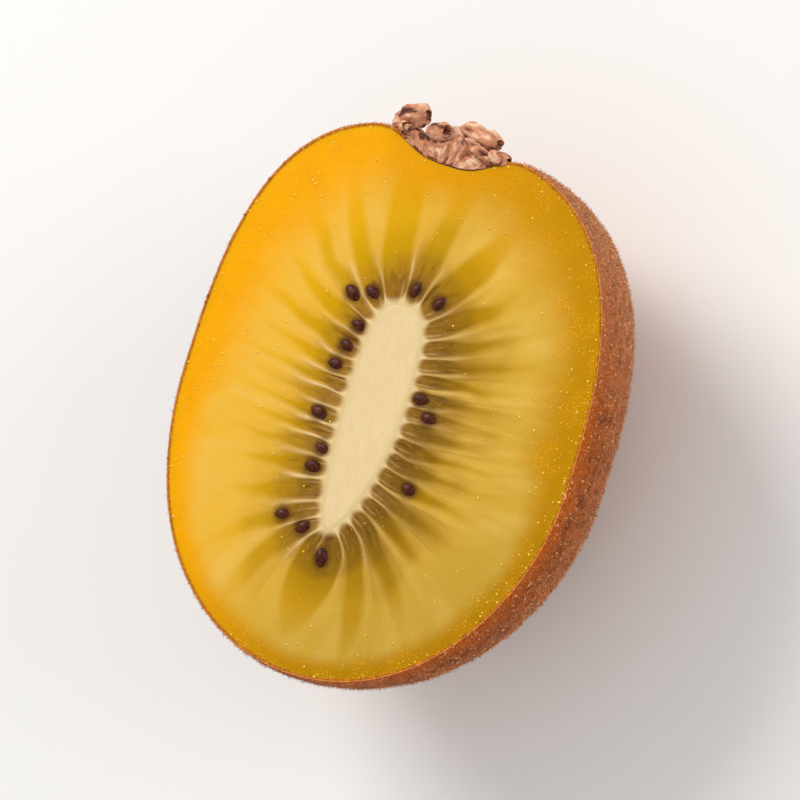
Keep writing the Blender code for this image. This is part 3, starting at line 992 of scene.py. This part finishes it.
def peel_masks(sheet, cut):
    """All that the peel's finish is told about each point of it."""
    x, y, z = np.moveaxis(sheet, -1, 0)
    drop = -z + 0.5 * MM * rough_noise(sheet, 2.5 * MM, 43, 2)
    low = ease_mm(2, 14, drop)
    # Painted light: an orange glow on the peel just below the cut, as of light shining through the
    # thin peel from the cut face.
    painted_glow = 0.85 * (1 - ease_mm(0.3, 3.2, drop))
    # stemward: the stem end's -Y shoulder, where painted highlight lies.
    stemward = ease_mm(2, 28, x) * ease_mm(-16, 14, -y)
    round_dimple = 1 - ease_mm(5.5, 8.5, np.hypot(y - DIMPLE_Y, z))
    return {
        "cut": cut,
        "painted_glow": painted_glow * (1 - stemward),
        # How strongly the pale squiggles show: less near the cut, more further below it.
        "squiggle_share": 0.45 + 0.55 * low,
        # Painted highlight: paler on the stem end's -Y shoulder and further below the cut.
        "pale": 0.32 * stemward + 0.18 * low,
        "woody": 0.85 * ease_mm(20, 26, x) * round_dimple,
    }


def on_outside(places, normals):
    """Which places face away from the fruit's middle."""
    return (normals * (places - (BELLY_X, 0, 0))).sum(axis=1) > 0


def make_skin():
    """The peel, with a low relief that fades at the cut and ends on the resting spot."""
    sheet, cut, inner = peel_sheets()
    piece = mesh_piece("skin_peel", ((sheet, False), (inner, False)), peel_masks(sheet, cut))
    points = values_of(piece.data.vertices, "co", 3)
    normals = values_of(piece.data.vertices, "normal", 3)
    relief = 0.12 * MM * rough_noise(points, 3.2 * MM, 41)
    relief += 0.07 * MM * rough_noise(points, 0.9 * MM, 45, 2)
    near_cut = ease_mm(0, 1, -points[:, 2])
    on_spot = ease_mm(0, 1, points[:, 2] + FACE_HEIGHT)
    relief *= on_outside(points, normals) * (0.3 + 0.7 * near_cut) * on_spot
    points = points + normals * relief[:, None]
    points[:, 2] = np.clip(points[:, 2], -FACE_HEIGHT, None)
    piece.data.vertices.foreach_set("co", points.ravel())
    piece.data.update()
    return piece


def scatter(piece, count, draw):
    """Points and normals spread evenly over the outside of the peel."""
    areas = values_of(piece.data.polygons, "area")
    middles = values_of(piece.data.polygons, "center", 3)
    normals = values_of(piece.data.polygons, "normal", 3)
    free = (middles[:, 2] < -0.04 * MM) & (middles[:, 2] > 0.4 * MM - FACE_HEIGHT)
    chances = areas * on_outside(middles, normals) * free
    picked = draw.choice(len(areas), count, p=chances / chances.sum())
    normal = normals[picked]
    jitter = draw.normal(0, 0.35, (count, 3)) * np.sqrt(areas[picked])[:, None]
    jitter -= normal * (jitter * normal).sum(axis=1, keepdims=True)
    return middles[picked] + jitter, normal


def make_beads(flesh):
    """Tiny beads of juice that stand on the cut cells, most of them near the rim."""
    draw = np.random.default_rng(57)
    points = values_of(flesh.data.vertices, "co", 3)
    masks = flesh.data.attributes
    glint_share, halo, pith = (values_of(masks[key].data, "value") for key in ("painted_glints", "halo", "pith"))
    apart = np.hypot(points[:, 0] - CORE_X, points[:, 1])
    # The beads stand mostly where the painted glints lie.
    chances = glint_share * apart**1.5 * (halo < 0.01) * (pith < 0.01)
    picked = draw.choice(len(points), BEADS, replace=False, p=chances / chances.sum())
    middle = points[picked] + draw.normal(0, 0.05 * MM, (BEADS, 3)) * (1, 1, 0)
    radius = draw.uniform(0.25, 1.0, (BEADS, 1)) ** 3 * 0.2 * MM
    one = radius * (1, 0, 0)
    other = radius * (0, 1, 0)
    foot = ring_points(middle - (0, 0, 0.05 * MM), one, other, BEAD_SIDES)
    brow = ring_points(middle + radius * (0, 0, 0.45), one * 0.7, other * 0.7, BEAD_SIDES, 0.3)
    return tapering("juice_beads", foot, brow, middle + radius * (0, 0, 0.65))


def make_flecks(skin):
    """Low corky domes, longer than wide, in all directions."""
    draw = np.random.default_rng(51)
    points, normals = scatter(skin, FLECKS, draw)
    one = unit(np.cross(normals, draw.normal(size=(FLECKS, 3))))
    other = np.cross(normals, one)
    radius = draw.uniform(0.1, 0.2, (FLECKS, 1)) * MM
    length = radius * draw.uniform(1.0, 1.9, (FLECKS, 1))
    height = draw.uniform(0.04, 0.09, (FLECKS, 1)) * MM
    foot = ring_points(points - normals * 0.12 * MM, one * length, other * radius, FLECK_SIDES)
    brow = points + normals * height * 0.6
    brow = ring_points(brow, one * length * 0.62, other * radius * 0.62, FLECK_SIDES, 0.2)
    return tapering("peel_flecks", foot, brow, points + normals * height)


def make_fuzz(skin, name, count, lengths, seed):
    """Short bent hairs, which lean over the peel in all directions."""
    draw = np.random.default_rng(seed)
    points, normals = scatter(skin, count, draw)
    aside = unit(np.cross(normals, draw.normal(size=(count, 3))))
    length = draw.uniform(*lengths, (count, 1))
    lean = draw.uniform(0.3, 1.1, (count, 1))
    thick = draw.uniform(0.6, 1.0, (count, 1)) * FUZZ_THICK
    out = unit(normals + aside * lean)
    elbow = points + out * length * 0.55
    tip = elbow + unit(out + aside * 0.7 * lean) * length * 0.45
    tip[:, 2] = np.clip(tip[:, 2], 0.05 * MM - FACE_HEIGHT, None)
    one = unit(np.cross(out, normals + 0.01))
    other = np.cross(out, one)
    foot = ring_points(points - normals * 0.05 * MM, one * thick, other * thick, 3)
    bend = ring_points(elbow, one * thick * 0.7, other * thick * 0.7, 3)
    return tapering(name, foot, bend, tip)


# --- The calyx ---

# The dry sepals, each rolled round an axis. Lengths in millimetres, turns in degrees:
# (middle, axis, where the roll starts, turn, radii, squash, pinch of the ends, width, thickness)
SEPALS = (
    # the left sepal: a tight scroll seen from its end, and the lobe rolled up over it
    ((31.6, 7.2, -1.2), (0.05, -0.5, 0.87), (1, 0, 0), 560, (1.7, 0.6), 0.55, 0.1, 3.4, 0.5),
    ((33.3, 7.5, -1.3), (0.24, -1, 0.05), (-1, 0, 0.1), -640, (1.55, 0.2), 0.95, 0.3, 3.5, 0.6),
    ((32.6, 8.4, -2.4), (0.3, -1, 0), (-1, 0, 0), -150, (1.8, 1.5), 1.0, 0.1, 3.4, 0.6),
    # the middle sepal: a small hood, open to the right, with a dark hollow
    ((32.4, 3.3, -0.9), (0.1, -0.9, 0.4), (-1, 0, -0.3), -420, (1.4, 0.5), 0.85, 0.2, 2.9, 0.5),
    ((32.0, 2.2, -2.6), (0.1, -1, 0), (-1, 0, 0), -200, (1.5, 1.2), 1.0, 0.2, 4.2, 0.5),
    # the right sepal: a long roll, and the smaller folds in front of it
    ((33.1, -1.8, -1.8), (-0.16, -1, 0.05), (-1, 0, -0.3), -560, (1.35, 0.3), 0.9, 0.3, 5.6, 0.5),
    ((31.5, -2.6, 0.0), (-0.3, -1, 0.05), (-0.9, 0, -0.5), -430, (0.72, 0.15), 0.9, 0.6, 3.8, 0.4),
    ((31.1, -5.2, -0.1), (-0.45, -1, 0.2), (-0.9, 0, -0.5), -430, (0.6, 0.15), 0.9, 0.6, 2.2, 0.4),
    ((30.6, -3.7, 0.1), (-0.2, -1, 0.1), (-0.9, 0, -0.5), -330, (0.4, 0.15), 0.8, 0.6, 2.4, 0.3),
    # two sepals lower in the dimple, which show only from the stem end
    ((31.0, 3.4, -5.2), (0.1, 0.8, 0.6), (-1, 0, 0.2), 300, (1.3, 0.6), 1.0, 0.2, 4.4, 0.5),
    ((31.0, -3.2, -5.0), (0.1, -0.8, 0.6), (-1, 0, 0.2), -300, (1.2, 0.5), 1.0, 0.2, 4.0, 0.5),
)
# Painted shade in hollows and painted highlights on ridges of the stem scar, in millimetres:
# (middle, half sizes, strength).
SCAR_PATCHES = (
    ((31.3, 4.2), (0.7, 1.7), -0.55),
    ((30.1, 2.5), (0.5, 0.9), 0.4),
    ((31.2, 0.4), (1.0, 0.5), 0.35),
    ((30.9, -5.0), (0.6, 1.4), -0.7),
    ((31.9, -1.8), (0.6, 1.6), -0.6),
)
SCROLL_ROWS = 76
SCROLL_HALF = 22  # points across one side of a scroll
CRUMPLE = 0.32  # how far the sepals are crumpled, in millimetres
SCAR_SPAN = (8 * MM, -7 * MM)
SCAR_COLUMNS = 220
SCAR_MIDDLE = (26.5 * MM, 1.5 * MM)  # what the scar's folds run round


def make_scroll(number, middle, axis, start, turn, radii, squash, pinch, width, thickness):
    """One dry, ribbed sepal rolled round its axis, with ragged edges."""
    axis = unit(np.array(axis))
    one = unit(np.array(start) - axis * np.dot(start, axis))
    other = np.cross(axis, one)
    share = np.linspace(0, 1, SCROLL_ROWS)[:, None]
    across = np.linspace(-1, 1, SCROLL_HALF)
    across = np.concatenate((across, across[::-1]))[None, :]
    outside = np.repeat((1.0, -1.0), SCROLL_HALF)[None, :]
    angle = math.radians(turn) * share
    radius = radii[0] + (radii[1] - radii[0]) * share
    path = np.cumsum(np.abs(np.gradient(angle[:, 0])) * radius[:, 0])[:, None]
    span = width * (1 - 0.25 * share**3)
    place = joined(path, across * span / 6, number * 7.3 + outside)
    ragged = joined(path, np.sign(across) * 3.1, number * 5.7)
    along_axis = across * span / 2 * (1 + 0.22 * rough_noise(ragged, 1.1, 71))
    ribs = rough_noise(place, 0.55, 73)
    end = np.sqrt(np.clip(1 - np.abs(2 * share - 1) ** 10, 0, 1))
    edge = np.sqrt(np.clip(1 - across**8, 0, 1))
    reach = radius + outside * thickness / 2 * end * edge * (1 + 0.5 * ribs) + 0.13 * ribs
    reach = reach * (1 - pinch * np.abs(across) ** 5)
    round_axis = np.cos(angle)[..., None] * one * squash + np.sin(angle)[..., None] * other
    points = np.array(middle) + along_axis[..., None] * axis + reach[..., None] * round_axis
    crumpled = [rough_noise(points, 1.1, 80 + level, 4) for level in range(3)]
    points = points + CRUMPLE * joined(*crumpled)
    # Painted light: lighter on the ribs and crumples, with painted shade between them and on the
    # inside of the roll.
    relief_light = np.clip(0.52 + 0.8 * ribs + 0.2 * crumpled[0], 0, 1)
    inner = np.broadcast_to(outside < 0, relief_light.shape)
    relief_light = np.where(inner, relief_light - 0.12, relief_light)
    return mesh_piece(f"sepal_{number}", ((points * MM, True),), {"relief_light": relief_light})


def scar_crest(y, inward):
    """The X of the scar's ragged top edge on the cut."""
    crest = skin_height(y, 0) + (0.25 + 2.0 * inward) * MM
    crest = crest + MM * np.exp(-(((y - 0.2 * MM) / MM) ** 2))
    return crest + 0.35 * MM * rough_noise(joined(y, 0, 0), 1.3 * MM, 61)


def scar_front(y, crest):
    """The scar's cut front with its folds, and its painted light: lighter where a point stands out
    of the folds, with painted shade in them and along its foot.
    """
    rise = np.linspace(0, 1, 50)[None, :]
    foot = skin_height(y, 0) - SKIN - 0.12 * MM
    x = foot + (crest - foot) * rise
    around = np.arctan2(y - SCAR_MIDDLE[1], x - SCAR_MIDDLE[0])
    spread = np.hypot(y - SCAR_MIDDLE[1], x - SCAR_MIDDLE[0])
    folds = rough_noise(joined(around * 4.5 * MM, spread * 0.3, 0), 0.75 * MM, 63)
    grain = rough_noise(joined(x, y, 0), 0.5 * MM, 65)
    z = 0.06 * MM + (0.34 * folds + 0.12 * grain) * MM * ease(0, 0.15, rise)
    z = z - 0.12 * MM * (1 - ease(0, 0.08, rise)) - 0.25 * MM * ease(0.85, 1, rise)
    # Painted shade along the foot of the front, where it meets the peel.
    outline = 1 - ease(0.03, 0.12, rise)
    return joined(x, y, z), 0.54 + 0.48 * folds + 0.2 * grain - outline


def scar_back(y, crest, inward, top):
    """The scar's lumpy back, from the front's top edge down to the peel, and its painted light,
    lighter on its hummocks and shaded between them.
    """
    back = np.linspace(0, 1, 46)[None, 1:]
    z = top - 7.0 * MM * inward**0.5 * back
    x = crest + (skin_height(y, z) - 0.4 * MM - crest) * ease(0.35, 1.0, back)
    points = joined(x, y, z)
    hummocks = rough_noise(points, 1.2 * MM, 67)
    points[..., 0] += 0.45 * MM * hummocks * (1 - back**4)
    return points, 0.45 + 0.6 * hummocks


def make_scar():
    """The woody stem scar, which fills the dimple and is cut with the fruit."""
    y = np.linspace(*SCAR_SPAN, SCAR_COLUMNS)[:, None]
    inward = np.clip(1 - np.abs((y - 0.5 * MM) / (7.6 * MM)) ** 2.5, 0, 1)
    crest = scar_crest(y, inward)
    front, front_light = scar_front(y, crest)
    back, back_light = scar_back(y, crest, inward, front[:, -1:, 2])
    sheet = np.concatenate((front, back), axis=1)
    relief_light = np.concatenate((front_light, back_light), axis=1)
    # Painted shade in the scar's hollows and painted highlights on its ridges.
    for middle, halves, strength in SCAR_PATCHES:
        off = ((sheet[..., :2] / MM - middle) / halves) ** 2
        relief_light = relief_light + strength * np.exp(-off.sum(axis=-1))
    return mesh_piece("stem_scar", ((sheet, False),), {"relief_light": np.clip(relief_light, 0, 1)})


# --- The stage ---

FLOOR_HALF = 3.0
LIGHT_DISTANCE = 1.5
SKY_STRENGTH = 0.56
# The lamps: (name, where it shines from, how wide it is, its power, its colour).
LAMPS = (
    ("key", (0.7, 1.0, 0.95), 0.8, 15.0, (1.0, 0.98, 0.95)),
    ("fill", (0.5, -1.0, 0.35), 0.9, 7.5, (1.0, 0.98, 0.96)),
)
VIEW_ELEVATION = math.radians(60)
VIEW_ROLL = math.radians(17)
VIEW_DISTANCE = 0.7
VIEW_WIDTH = 0.094  # how wide the view is at the fruit
VIEW_SHIFT = 2.3 * MM  # how far the aim lies to the right of the face's middle
SENSOR = 36  # the width of the camera's sensor, in millimetres


def make_floor(finish):
    """A pale floor under the fruit."""
    data = bpy.data.meshes.new("floor")
    corners = [(x * FLOOR_HALF, y * FLOOR_HALF, 0) for x, y in ((-1, -1), (1, -1), (1, 1), (-1, 1))]
    data.from_pydata(corners, [], [(0, 1, 2, 3)])
    data.materials.append(finish)
    linked("floor", data)


def add_light(name, towards, size, power, colour):
    """A soft square light that shines at the fruit from a direction."""
    lamp = bpy.data.lights.new(name, "AREA")
    lamp.shape = "SQUARE"
    lamp.size = size
    lamp.energy = power
    lamp.color = colour
    light = linked(name, lamp)
    light.location = Vector((0, 0, FACE_HEIGHT)) + Vector(towards).normalized() * LIGHT_DISTANCE
    light.rotation_euler = Vector(towards).to_track_quat("Z", "Y").to_euler()
    light.visible_camera = False


def set_light():
    """A pale sky, a key lamp on the +Y side of the stem end and a low fill on its -Y side."""
    world = bpy.data.worlds.new("studio")
    bpy.context.scene.world = world
    world.use_nodes = True
    sky = world.node_tree.nodes["Background"].inputs
    sky["Color"].default_value = (1.0, 0.99, 0.98, 1)
    sky["Strength"].default_value = SKY_STRENGTH
    for lamp in LAMPS:
        add_light(*lamp)
    bpy.context.scene.view_settings.view_transform = "Standard"


def add_camera():
    """The view down on the cut face from its -Y side, with the stem end up and leaning right."""
    back = Vector((0, -math.cos(VIEW_ELEVATION), math.sin(VIEW_ELEVATION)))
    stemward = Vector((1, 0, 0))
    right = stemward.cross(back) * math.cos(VIEW_ROLL) + stemward * math.sin(VIEW_ROLL)
    up = back.cross(right)
    lens = bpy.data.cameras.new("camera")
    lens.sensor_width = SENSOR
    lens.lens = SENSOR * VIEW_DISTANCE / VIEW_WIDTH
    lens.clip_start = 0.01
    camera = linked("camera", lens)
    aim = Vector((0, 0, FACE_HEIGHT)) + VIEW_SHIFT * right
    turn = Matrix((right, up, back)).transposed().to_4x4()
    camera.matrix_world = Matrix.Translation(aim + back * VIEW_DISTANCE) @ turn
    bpy.context.scene.camera = camera


def build():
    """All the pieces, their finishes and the stage."""
    skin = make_skin()
    flecks = make_flecks(skin)
    fuzz = [make_fuzz(skin, *kind) for kind in FUZZ]
    give(skin, skin_finish(), "skin", "skin")
    give(flecks, fleck_finish(), "skin")
    hairy = fuzz_finish()
    for coat in fuzz:
        give(coat, hairy, "skin")
    woody = calyx_finish()
    give(make_scar(), woody, "calyx", "calyx")
    for number, sepal in enumerate(SEPALS):
        give(make_scroll(number, *sepal), woody, "calyx")
    cut = cut_flesh()
    flesh = make_flesh(cut)
    beads = make_beads(flesh)
    give(flesh, flesh_finish(), "flesh", "flesh")
    give(beads, juice_finish(), "flesh")
    give(make_seeds(cut.seeds), seed_finish(), "seed")
    give(make_core(), core_finish(), "core", "core")
    make_floor(floor_finish())
    set_light()
    add_camera()


build()
